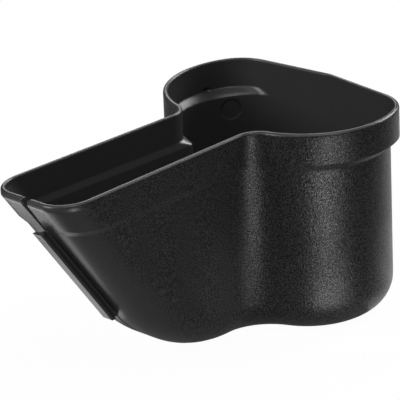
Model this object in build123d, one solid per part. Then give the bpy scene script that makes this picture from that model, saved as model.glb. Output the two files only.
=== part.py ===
"""Car cup holder: one moulded open shell with a two-lobed cup well, a channel and a sloping nose with a rail.

Millimetres, +Z up, +X from the nose towards the cup, origin under the middle of the part on its base.
"""
import os
from math import atan, atan2, cos, pi, radians, sin, sqrt, tan

from build123d import *

# Overall size
overall_length = 221.2
overall_height = 111.5
wall = 2.5

# Plan of the collar, with widths from its middle line
nose_half_width = 27.2
channel_taper_deg = 1.25
lobe_y = 18.8
lobe_radius = 47.4
junction_radius = 11.0
far_lean_deg = 6.9
far_trim = 6.9
far_corner_radius = 24.0
apex_radius = 12.0

# Collar and the narrower body below it, joined by a sloping step; the body's lobes sit nearer to the nose
collar_height = 16.8
step_drop = 3.5
channel_step = 1.0
lobe_step = 3.8
lobe_shift = 2.6
body_junction_radius = 18.0
body_inner_corner_radius = 3.0
body_corner_radius = 22.0

# Sloping nose and rounded base
nose_slope_deg = 36.3
nose_lip_height = 3.4
nose_edge_radius = 15.0
nose_base_radius = 81.0
base_edge_radius = 17.5

# Rim edges
rim_outer_radius = 1.5
rim_inner_bevel = 0.5

# Slide rail on the nose, with depths taken down from the rim
rail_top_depth = 21.0
rail_bottom_depth = 81.0
rail_height = 4.9
rail_head_width = 6.4
rail_head_thickness = 2.2
rail_web_thickness = 2.0
rail_root = 1.0

# Slit through the nose wall, above the rail and for a short way under it
slit_top_width = 3.8
slit_foot_width = 1.7
slit_mouth_radius = 1.5
lower_slit_width = 1.2
lower_slit_length = 14.0

# Moulding marks inside one lobe: a shallow disc on the well wall and a pin mark over the step
disc_radius = 5.6
disc_sink = 0.3
disc_depth = 26.5
disc_angle_deg = 59.0
pin_mark_radius = 4.0
pin_mark_height = 1.6
pin_mark_sink = 0.8
pin_mark_angle_deg = 78.0

# Derived values
taper = radians(channel_taper_deg)
lean = radians(far_lean_deg)
slope = radians(nose_slope_deg)
step_angle = atan(step_drop / lobe_step)
reach = overall_length + overall_height
nose_x = -overall_length / 2
apex_x = overall_length / 2 + apex_radius * (1 / cos(lean) - 1)
slope_top = overall_height - nose_lip_height
# The far wall cuts the body's lobes short by the trim, and that sets how far in from it the lobes lie
lobe_to_far_wall = lobe_radius - lobe_step - far_trim
lobe_centre = (apex_x - (lobe_to_far_wall + lobe_y * sin(lean)) / cos(lean), lobe_y)
# The step inside lies this much higher than outside, so the wall keeps its thickness along the slope
step_rise = wall / cos(step_angle) - wall * tan(step_angle)


def on_circle(centre, radius, angle):
    return (centre[0] + radius * cos(angle), centre[1] + radius * sin(angle))


def arc(centre, radius, start, end):
    middle = (start + end) / 2
    return ThreePointArc(
        on_circle(centre, radius, start), on_circle(centre, radius, middle), on_circle(centre, radius, end)
    )


def junction_centre(centre, channel_inset, lobe, junction):
    """Centre of the arc that joins the channel wall to the lobe; it lies outside both."""
    offset = junction - channel_inset
    base = (nose_x + offset * sin(taper), nose_half_width + offset * cos(taper))
    ahead = centre[0] - base[0]
    aside = centre[1] - base[1]
    along = ahead * cos(taper) - aside * sin(taper)
    across = ahead * sin(taper) + aside * cos(taper)
    run = along - sqrt((lobe + junction) ** 2 - across**2)
    return (base[0] + run * cos(taper), base[1] - run * sin(taper))


def corner_centre(centre, apex, lobe, corner):
    """Centre of the far corner's arc; it lies inside the lobe and touches the far wall."""
    base = (apex - corner * cos(lean), -corner * sin(lean))
    ahead = base[0] - centre[0]
    aside = base[1] - centre[1]
    along = aside * cos(lean) - ahead * sin(lean)
    across = ahead * cos(lean) + aside * sin(lean)
    climb = sqrt((lobe - corner) ** 2 - across**2) - along
    return (base[0] - climb * sin(lean), base[1] + climb * cos(lean))


def plan(shift, channel_inset, lobe_inset, far_inset, junction, corner):
    """Closed outline pulled in from the collar; its nose end is left open for the sloping nose to cut."""
    centre = (lobe_centre[0] - shift, lobe_centre[1])
    lobe = lobe_radius - lobe_inset
    apex = apex_x - far_inset / cos(lean)
    joint = junction_centre(centre, channel_inset, lobe, junction)
    turn = corner_centre(centre, apex, lobe, corner)
    apex_centre = (apex - apex_radius / cos(lean), 0)
    wall_angle = -pi / 2 - taper
    joint_angle = atan2(centre[1] - joint[1], centre[0] - joint[0])
    turn_angle = atan2(turn[1] - centre[1], turn[0] - centre[0])
    wall_end = on_circle(joint, junction, wall_angle)
    start_x = nose_x - wall
    wall_start = (start_x, wall_end[1] + (wall_end[0] - start_x) * tan(taper))
    half = [
        Line((start_x, 0), wall_start),
        Line(wall_start, wall_end),
        arc(joint, junction, wall_angle, joint_angle),
        arc(centre, lobe, joint_angle + pi, turn_angle),
        arc(turn, corner, turn_angle, lean),
        Line(on_circle(turn, corner, lean), on_circle(apex_centre, apex_radius, lean)),
        arc(apex_centre, apex_radius, lean, 0),
    ]
    return make_face(half + [mirror(edge, Plane.XZ) for edge in half])


def nose_room(inset):
    """Everything behind the sloping nose and above the base, pulled in by inset."""
    shift = inset / cos(slope)
    foot_x = nose_x + shift + (slope_top - inset) * tan(slope)
    head_x = nose_x + shift - nose_lip_height * tan(slope)
    side = make_face(
        Polyline(
            (head_x, overall_height),
            (foot_x, inset),
            (reach, inset),
            (reach, overall_height),
            close=True,
        )
    )
    foot = side.vertices().sort_by_distance((foot_x, inset))[0]
    return extrude(Plane.XZ * fillet(foot, nose_base_radius - inset), reach, both=True)


def sloping_edges(solid):
    """The two straight edges where the sloping nose meets the channel walls."""
    lines = solid.edges().filter_by(GeomType.LINE)
    return [e for e in lines if abs(e.tangent_at(0.5).Y) < 0.1 and 0.3 < abs(e.tangent_at(0.5).Z) < 0.95]


def low_edges(solid, top):
    """The chain of edges down the nose and round the base; the cross lines of the nose are left out."""
    low = [e for e in solid.edges() if e.center().Z < top - 0.01]
    return [e for e in low if abs(e.tangent_at(0.5).Z) < 0.999 and abs(e.tangent_at(0.5).Y) < 0.999999]


def form(inset):
    """The holder's outer form, or the room inside it when pulled in by the wall."""
    room = nose_room(inset)
    lip = slope_top + inset * (1 / cos(slope) - 1) / tan(slope)
    step_top = overall_height - collar_height + step_rise * inset / wall
    step_foot = step_top - step_drop
    body_junction = body_inner_corner_radius if inset else body_junction_radius
    collar_plan = plan(0.0, inset, inset, inset, junction_radius + inset, far_corner_radius - inset)
    body_plan = plan(
        lobe_shift,
        inset + channel_step,
        inset + lobe_step,
        inset,
        body_junction,
        body_corner_radius - inset,
    )
    collar = Pos(0, 0, step_top) * extrude(collar_plan, lip - step_top) & room
    collar = fillet(sloping_edges(collar), nose_edge_radius - inset)
    body = Pos(0, 0, inset) * extrude(body_plan, step_foot - inset) & room
    body = fillet(low_edges(body, step_foot), base_edge_radius - inset)
    step = loft([body.faces().sort_by(Axis.Z)[-1], collar.faces().sort_by(Axis.Z)[0]], ruled=True)
    rim = extrude(collar.faces().sort_by(Axis.Z)[-1], overall_height - lip)
    return body + step + collar + rim


def rail_bar(outer, inner, width):
    """Bar along the sloping nose between two heights above it, with level ends."""
    high = overall_height - rail_top_depth
    low = overall_height - rail_bottom_depth
    high_x = nose_x + (slope_top - high) * tan(slope)
    low_x = nose_x + (slope_top - low) * tan(slope)
    side = Polyline(
        (high_x - outer / cos(slope), high),
        (high_x - inner / cos(slope), high),
        (low_x - inner / cos(slope), low),
        (low_x - outer / cos(slope), low),
        close=True,
    )
    return extrude(Plane.XZ * make_face(side), width / 2, both=True)


def upper_slit():
    """Gap through the nose wall from the rounded mouth at the rim down to the rail."""
    half = slit_top_width / 2
    foot = slit_foot_width / 2
    side = half + slit_mouth_radius
    top = overall_height
    neck = top - slit_mouth_radius
    low = top - rail_top_depth
    outline = [
        Line((-foot, low), (foot, low)),
        Line((foot, low), (half, neck)),
        arc((side, neck), slit_mouth_radius, pi, pi / 2),
        Line((side, top), (-side, top)),
        arc((-side, neck), slit_mouth_radius, pi / 2, 0),
        Line((-half, neck), (-foot, low)),
    ]
    return Pos(nose_x - wall, 0, 0) * extrude(Plane.YZ * make_face(outline), rail_top_depth + 2 * wall)


def lower_slit():
    """Narrow gap that goes on under the rail."""
    top = overall_height - rail_bottom_depth
    start = nose_x + (slope_top - top) * tan(slope) - wall
    length = (lower_slit_length + wall) * tan(slope) + 3 * wall
    gap = Box(length, lower_slit_width, lower_slit_length, align=(Align.MIN, Align.CENTER, Align.MAX))
    return Pos(start, 0, top) * gap


def wall_disc():
    """Shallow flat disc sunk in the well wall."""
    radius = lobe_radius - lobe_step - wall + disc_sink
    angle = radians(disc_angle_deg)
    centre = (lobe_centre[0] - lobe_shift, lobe_centre[1])
    spot = on_circle(centre, radius, angle)
    face = Plane(origin=(spot[0], spot[1], overall_height - disc_depth), z_dir=(-cos(angle), -sin(angle), 0))
    return extrude(face * Circle(disc_radius), 2 * wall)


def pin_mark():
    """Round moulding mark cut into the collar's inside just over the step."""
    radius = lobe_radius - wall + pin_mark_sink - pin_mark_radius
    spot = on_circle(lobe_centre, radius, radians(pin_mark_angle_deg))
    foot = overall_height - collar_height + step_rise
    mark = Cylinder(pin_mark_radius, pin_mark_height, align=(Align.CENTER, Align.CENTER, Align.MIN))
    return Pos(spot[0], spot[1], foot) * mark


shell = form(0.0) - form(wall)
rim_face = shell.faces().filter_by(Axis.Z).sort_by(Axis.Z)[-1]
shell = fillet(rim_face.outer_wire().edges(), rim_outer_radius)
rim_face = shell.faces().filter_by(Axis.Z).sort_by(Axis.Z)[-1]
shell = chamfer(rim_face.inner_wires()[0].edges(), rim_inner_bevel)

rail_head = rail_bar(rail_height, rail_height - rail_head_thickness, rail_head_width)
rail_web = rail_bar(rail_height - rail_head_thickness, -rail_root, rail_web_thickness)

cup_holder = shell - upper_slit() - lower_slit() - wall_disc() - pin_mark() + rail_web + rail_head

os.makedirs("parts", exist_ok=True)
export_step(cup_holder, "parts/cup_holder_body.step")
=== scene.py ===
from math import cos, pi, radians, sin

import bpy
from mathutils import Matrix, Vector

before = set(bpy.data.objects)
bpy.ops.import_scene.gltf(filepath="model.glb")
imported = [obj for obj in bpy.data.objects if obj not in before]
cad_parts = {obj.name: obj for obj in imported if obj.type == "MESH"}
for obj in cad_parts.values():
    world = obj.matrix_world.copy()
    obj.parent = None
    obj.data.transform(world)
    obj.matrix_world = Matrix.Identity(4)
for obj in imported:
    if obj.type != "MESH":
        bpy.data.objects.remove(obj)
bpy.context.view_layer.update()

scene = bpy.context.scene
scene.view_settings.view_transform = "Standard"

# Camera, at the photo's viewing angle
VIEW_AZIMUTH = radians(45.317)
VIEW_ELEVATION = radians(22.10)
VIEW_ROLL = radians(-2.4)
VIEW_DISTANCE = 1.6
VIEW_TARGET = Vector((-0.0593, -0.0676, 0.1115))
LENS = 302.4
SENSOR = 36.0
FAR_CLIP = 20.0

# Places on the holder that the plastic's finish follows, in metres
NOSE_X = -0.1106
SLOPE_TOP = 0.1081
SLOPE = radians(36.3)
LOBE_X = 0.0715
LOBE_Y = 0.0188
CHANNEL_END = 0.045

# Outside or inside: the weight of each way that a surface can face, and the soft edge between the two
LOBE_FACING = 25.0
NOSE_FACING = 0.3
UP_FACING = 3.0
FACING_EDGE = 0.15

# Grain: where it fades in behind the nose, in metres, then its noise scales and heights
GRAIN_START = 0.004
GRAIN_FULL = 0.019
WANDER_SCALE = 60.0
WANDER = 0.010
CELL_SCALE = 1300.0
CELL_HEIGHT = -0.8
FINE_SCALE = 1600.0
FINE_ROUGHNESS = 0.6
FINE_HEIGHT = 0.9
SATIN_SCALE = 2600.0
SATIN_HEIGHT = 0.05
BUMP_DISTANCE = 0.00017

# Moulded edges are never quite sharp
EDGE_RADIUS = 0.0015
EDGE_SAMPLES = 8

# Specks on the grain: the span of the fine noise that makes them, and how dark and pale they go
SPECK_NOISE_LOW = 0.35
SPECK_NOISE_HIGH = 0.75
SPECK_DARK = -0.4
SPECK_PALE = 0.7
SPECK_IN_TONE = 2.8
SPECK_IN_SHINE = 1.2

# Colour and gloss
TONE = 0.037
# Painted shade: how much darker the grain is painted than the smooth inside, for the shade in the
# grain's small hollows
GRAIN_PAINTED_SHADE = 0.026
PATCH_SCALE = 35.0
PATCH_TONE = 0.004
BLUE_TINT = 1.05
ROUGHNESS = 0.30
GRAIN_SMOOTHER = 0.02
STREAK_SCALE = 90.0
STREAK_ROUGHNESS = 0.08
REFRACTION = 1.5
SHINE = 0.5
GRAIN_SHINE = 0.1
SOFT_DETAIL = 3.0

# Floor and world: the camera sees them white, and other rays meet them dim
WHITE = (1.0, 1.0, 1.0, 1.0)
FLOOR_REACH = 6.0
FLOOR_COLOUR = 0.8
FLOOR_BOUNCE = 0.15
FLOOR_SEEN = 0.975
FLOOR_ROUGHNESS = 0.9
FLOOR_SHINE = 0.1
WORLD_SOFT = 0.01
WORLD_SEEN = 1.0

# Lamps: name, place, target, width, height and radiance
MIDDLE = (0.0, 0.0, 0.07)
LAMPS = [
    ("left", (-1.171, 0.314, 0.780), MIDDLE, 0.7, 0.7, 8.0),
    ("back", (0.737, 0.879, 0.883), MIDDLE, 0.7, 0.7, 4.0),
    ("far_right", (1.208, -0.106, 0.780), MIDDLE, 0.6, 0.6, 11.0),
    ("right_high", (0.024, -0.700, 1.292), MIDDLE, 0.35, 0.5, 8.0),
    ("front_high", (-0.418, -0.418, 1.349), MIDDLE, 0.7, 0.7, 1.6),
    ("front_card", (-0.010, -0.250, 0.019), (0.890, -0.090, 0.419), 0.2, 0.035, 8.2),
    ("nose_fill", (-0.130, -0.200, 0.029), (-0.850, 0.495, 0.029), 0.08, 0.05, 11.0),
    ("lobe_card", (0.040, -0.085, 0.010), (0.110, -0.020, 0.040), 0.05, 0.016, 2.0),
]

# Cards that lie on the floor and face straight up: name, place, width, height and radiance
CARD_AIM = 1.0
FLOOR_CARDS = [
    ("foot_card", (0.100, -0.058, 0.002), 0.05, 0.03, 0.55),
    ("far_card", (0.150, -0.030, 0.003), 0.06, 0.12, 0.65),
    ("nose_card", (-0.080, 0.050, 0.003), 0.08, 0.06, 1.1),
    ("table_card", (0.010, -0.005, 0.0015), 0.25, 0.16, 0.15),
    ("back_left_card", (-0.160, 0.120, 0.003), 0.12, 0.12, 4.2),
    ("back_right_card", (0.320, 0.120, 0.004), 0.3, 0.4, 0.5),
]


def add_camera():
    forward = Vector(
        (
            sin(VIEW_AZIMUTH) * cos(VIEW_ELEVATION),
            cos(VIEW_AZIMUTH) * cos(VIEW_ELEVATION),
            -sin(VIEW_ELEVATION),
        )
    )
    level = Vector((cos(VIEW_AZIMUTH), -sin(VIEW_AZIMUTH), 0.0))
    upright = level.cross(forward)
    right = cos(VIEW_ROLL) * level + sin(VIEW_ROLL) * upright
    up = cos(VIEW_ROLL) * upright - sin(VIEW_ROLL) * level
    data = bpy.data.cameras.new("camera")
    data.sensor_width = SENSOR
    data.lens = LENS
    data.clip_end = FAR_CLIP
    camera = bpy.data.objects.new("camera", data)
    scene.collection.objects.link(camera)
    place = VIEW_TARGET - VIEW_DISTANCE * forward
    turn = Matrix((right, up, -forward)).transposed().to_4x4()
    camera.matrix_world = Matrix.Translation(place) @ turn
    scene.camera = camera


class Nodes:
    """Short calls for building a node tree."""

    def __init__(self, tree):
        self.tree = tree

    def add(self, kind, **settings):
        node = self.tree.nodes.new(kind)
        for name, value in settings.items():
            setattr(node, name, value)
        return node

    def put(self, socket, value):
        if isinstance(value, bpy.types.NodeSocket):
            self.tree.links.new(value, socket)
        else:
            socket.default_value = value

    def split(self, vector):
        node = self.add("ShaderNodeSeparateXYZ")
        self.put(node.inputs[0], vector)
        return node.outputs[0], node.outputs[1], node.outputs[2]

    def math(self, operation, a, b=None, c=None):
        node = self.add("ShaderNodeMath", operation=operation)
        for socket, value in zip(node.inputs, (a, b, c)):
            if value is not None:
                self.put(socket, value)
        return node.outputs[0]

    def plus(self, a, b):
        return self.math("ADD", a, b)

    def minus(self, a, b):
        return self.math("SUBTRACT", a, b)

    def times(self, a, b):
        return self.math("MULTIPLY", a, b)

    def times_plus(self, a, b, c):
        return self.math("MULTIPLY_ADD", a, b, c)

    def ramp(self, value, low, high, out_low=0.0, out_high=1.0):
        node = self.add("ShaderNodeMapRange", interpolation_type="SMOOTHSTEP")
        self.put(node.inputs["Value"], value)
        node.inputs["From Min"].default_value = low
        node.inputs["From Max"].default_value = high
        node.inputs["To Min"].default_value = out_low
        node.inputs["To Max"].default_value = out_high
        return node.outputs[0]

    def noise(self, where, scale, detail=2.0, roughness=0.5):
        node = self.add("ShaderNodeTexNoise")
        self.put(node.inputs["Vector"], where)
        node.inputs["Scale"].default_value = scale
        node.inputs["Detail"].default_value = detail
        node.inputs["Roughness"].default_value = roughness
        return node.outputs[0]

    def cells(self, where, scale):
        node = self.add("ShaderNodeTexVoronoi", feature="SMOOTH_F1")
        self.put(node.inputs["Vector"], where)
        node.inputs["Scale"].default_value = scale
        return node.outputs["Distance"]

    def mix(self, share, first, second):
        node = self.add("ShaderNodeMixShader")
        self.put(node.inputs[0], share)
        self.put(node.inputs[1], first)
        self.put(node.inputs[2], second)
        return node.outputs[0]


def outside_mask(n, place, normal):
    """1 on the outside walls and the underside, 0 on the inside, the ledge and the rim's top."""
    px, py = place[:2]
    nx, ny, nz = normal
    side = n.math("SIGN", py)
    in_lobe = n.math("GREATER_THAN", px, CHANNEL_END)
    from_lobe_x = n.minus(px, LOBE_X)
    from_lobe_y = n.minus(py, n.times(side, LOBE_Y))
    lobe = n.times(n.plus(n.times(from_lobe_x, nx), n.times(from_lobe_y, ny)), LOBE_FACING)
    channel = n.minus(n.times(side, ny), n.times(nx, NOSE_FACING))
    facing = n.plus(n.times(in_lobe, lobe), n.times(n.minus(1.0, in_lobe), channel))
    facing = n.minus(facing, n.times(nz, UP_FACING))
    return n.ramp(facing, -FACING_EDGE, FACING_EDGE)


def grain_mask(n, where, place, outside):
    """The outside mask, faded out towards the sloping nose along a line that wanders a little."""
    from_nose = n.times(n.minus(place[0], NOSE_X), cos(SLOPE))
    drop = n.times(n.minus(SLOPE_TOP, place[2]), sin(SLOPE))
    depth = n.minus(from_nose, drop)
    wander = n.times(n.minus(n.noise(where, WANDER_SCALE), 0.5), WANDER)
    return n.times(outside, n.ramp(n.plus(depth, wander), GRAIN_START, GRAIN_FULL))


def black_plastic():
    material = bpy.data.materials.new("black_plastic")
    material.use_nodes = True
    tree = material.node_tree
    shader = tree.nodes["Principled BSDF"]
    n = Nodes(tree)
    where = n.add("ShaderNodeTexCoord").outputs["Object"]
    place = n.split(where)
    normal = n.split(n.add("ShaderNodeNewGeometry").outputs["Normal"])
    grained = grain_mask(n, where, place, outside_mask(n, place, normal))

    # Grain: small cushions with creases between them, broken up by a finer noise, over a faint satin
    cells = n.cells(where, CELL_SCALE)
    fine = n.noise(where, FINE_SCALE, roughness=FINE_ROUGHNESS)
    grain = n.plus(n.times(cells, CELL_HEIGHT), n.times(fine, FINE_HEIGHT))
    satin = n.noise(where, SATIN_SCALE, detail=1.0)
    height = n.plus(n.times(grain, grained), n.times(satin, SATIN_HEIGHT))
    soft_edges = n.add("ShaderNodeBevel", samples=EDGE_SAMPLES)
    soft_edges.inputs["Radius"].default_value = EDGE_RADIUS
    bump = n.add("ShaderNodeBump")
    bump.inputs["Strength"].default_value = 1.0
    bump.inputs["Distance"].default_value = BUMP_DISTANCE
    n.put(bump.inputs["Height"], height)
    n.put(bump.inputs["Normal"], soft_edges.outputs[0])
    n.put(shader.inputs["Normal"], bump.outputs[0])

    # Colour: nearly black, with painted shade on the grain that stands for the shade in its small
    # hollows, fine specks there and large soft patches all over
    speckle = n.ramp(fine, SPECK_NOISE_LOW, SPECK_NOISE_HIGH, SPECK_DARK, SPECK_PALE)
    specks = n.times(speckle, grained)
    patches = n.noise(where, PATCH_SCALE, detail=SOFT_DETAIL)
    tone = n.plus(n.times(patches, PATCH_TONE), TONE)
    # Painted shade: the tone drops on the grain, standing in for the shade in its small hollows
    tone = n.minus(tone, n.times(grained, GRAIN_PAINTED_SHADE))
    tone = n.times(tone, n.times_plus(specks, SPECK_IN_TONE, 1.0))
    colour = n.add("ShaderNodeCombineColor")
    n.put(colour.inputs[0], tone)
    n.put(colour.inputs[1], tone)
    n.put(colour.inputs[2], n.times(tone, BLUE_TINT))
    n.put(shader.inputs["Base Color"], colour.outputs[0])

    # Gloss: satin all over, broken into specks on the grain
    streaks = n.noise(where, STREAK_SCALE, detail=SOFT_DETAIL)
    rough = n.plus(n.times(streaks, STREAK_ROUGHNESS), ROUGHNESS)
    rough = n.minus(rough, n.times(grained, GRAIN_SMOOTHER))
    n.put(shader.inputs["Roughness"], rough)
    shader.inputs["IOR"].default_value = REFRACTION
    shine = n.times(n.times_plus(specks, SPECK_IN_SHINE, 1.0), n.times_plus(grained, GRAIN_SHINE, SHINE))
    n.put(shader.inputs["Specular IOR Level"], shine)
    return material


def add_floor():
    reach = FLOOR_REACH
    corners = [(-reach, -reach, 0), (reach, -reach, 0), (reach, reach, 0), (-reach, reach, 0)]
    mesh = bpy.data.meshes.new("floor")
    mesh.from_pydata(corners, [], [(0, 1, 2, 3)])
    floor = bpy.data.objects.new("floor", mesh)
    scene.collection.objects.link(floor)
    material = bpy.data.materials.new("floor")
    material.use_nodes = True
    tree = material.node_tree
    n = Nodes(tree)
    shader = tree.nodes["Principled BSDF"]
    camera_ray = n.add("ShaderNodeLightPath").outputs["Is Camera Ray"]
    shade = n.ramp(camera_ray, 0.0, 1.0, FLOOR_BOUNCE, FLOOR_COLOUR)
    colour = n.add("ShaderNodeCombineColor")
    for socket in colour.inputs:
        n.put(socket, shade)
    n.put(shader.inputs["Base Color"], colour.outputs[0])
    shader.inputs["Roughness"].default_value = FLOOR_ROUGHNESS
    shader.inputs["Specular IOR Level"].default_value = FLOOR_SHINE
    glow = n.add("ShaderNodeEmission")
    glow.inputs["Strength"].default_value = 1.0
    surface = n.mix(n.times(camera_ray, FLOOR_SEEN), shader.outputs[0], glow.outputs[0])
    n.put(tree.nodes["Material Output"].inputs["Surface"], surface)
    mesh.materials.append(material)


def add_world():
    world = bpy.data.worlds.new("world")
    scene.world = world
    world.use_nodes = True
    tree = world.node_tree
    n = Nodes(tree)
    soft = tree.nodes["Background"]
    soft.inputs["Color"].default_value = WHITE
    soft.inputs["Strength"].default_value = WORLD_SOFT
    seen = n.add("ShaderNodeBackground")
    seen.inputs["Color"].default_value = WHITE
    seen.inputs["Strength"].default_value = WORLD_SEEN
    camera_ray = n.add("ShaderNodeLightPath").outputs["Is Camera Ray"]
    surface = n.mix(camera_ray, soft.outputs[0], seen.outputs[0])
    n.put(tree.nodes["World Output"].inputs["Surface"], surface)


def add_area(name, place, target, width, height, radiance):
    """Soft rectangle of light. Its radiance is that of a white surface at 1."""
    data = bpy.data.lights.new(name, "AREA")
    data.energy = radiance * pi * width * height
    data.shape = "RECTANGLE"
    data.size = width
    data.size_y = height
    lamp = bpy.data.objects.new(name, data)
    scene.collection.objects.link(lamp)
    lamp.visible_camera = False
    lamp.location = place
    lamp.rotation_mode = "QUATERNION"
    lamp.rotation_quaternion = (Vector(target) - Vector(place)).to_track_quat("-Z", "Y")


add_camera()
add_floor()
add_world()
for lamp in LAMPS:
    add_area(*lamp)
for name, place, width, height, radiance in FLOOR_CARDS:
    add_area(name, place, (place[0], place[1], CARD_AIM), width, height, radiance)

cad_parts["cup_holder_body"].material_slots[0].material = black_plastic()
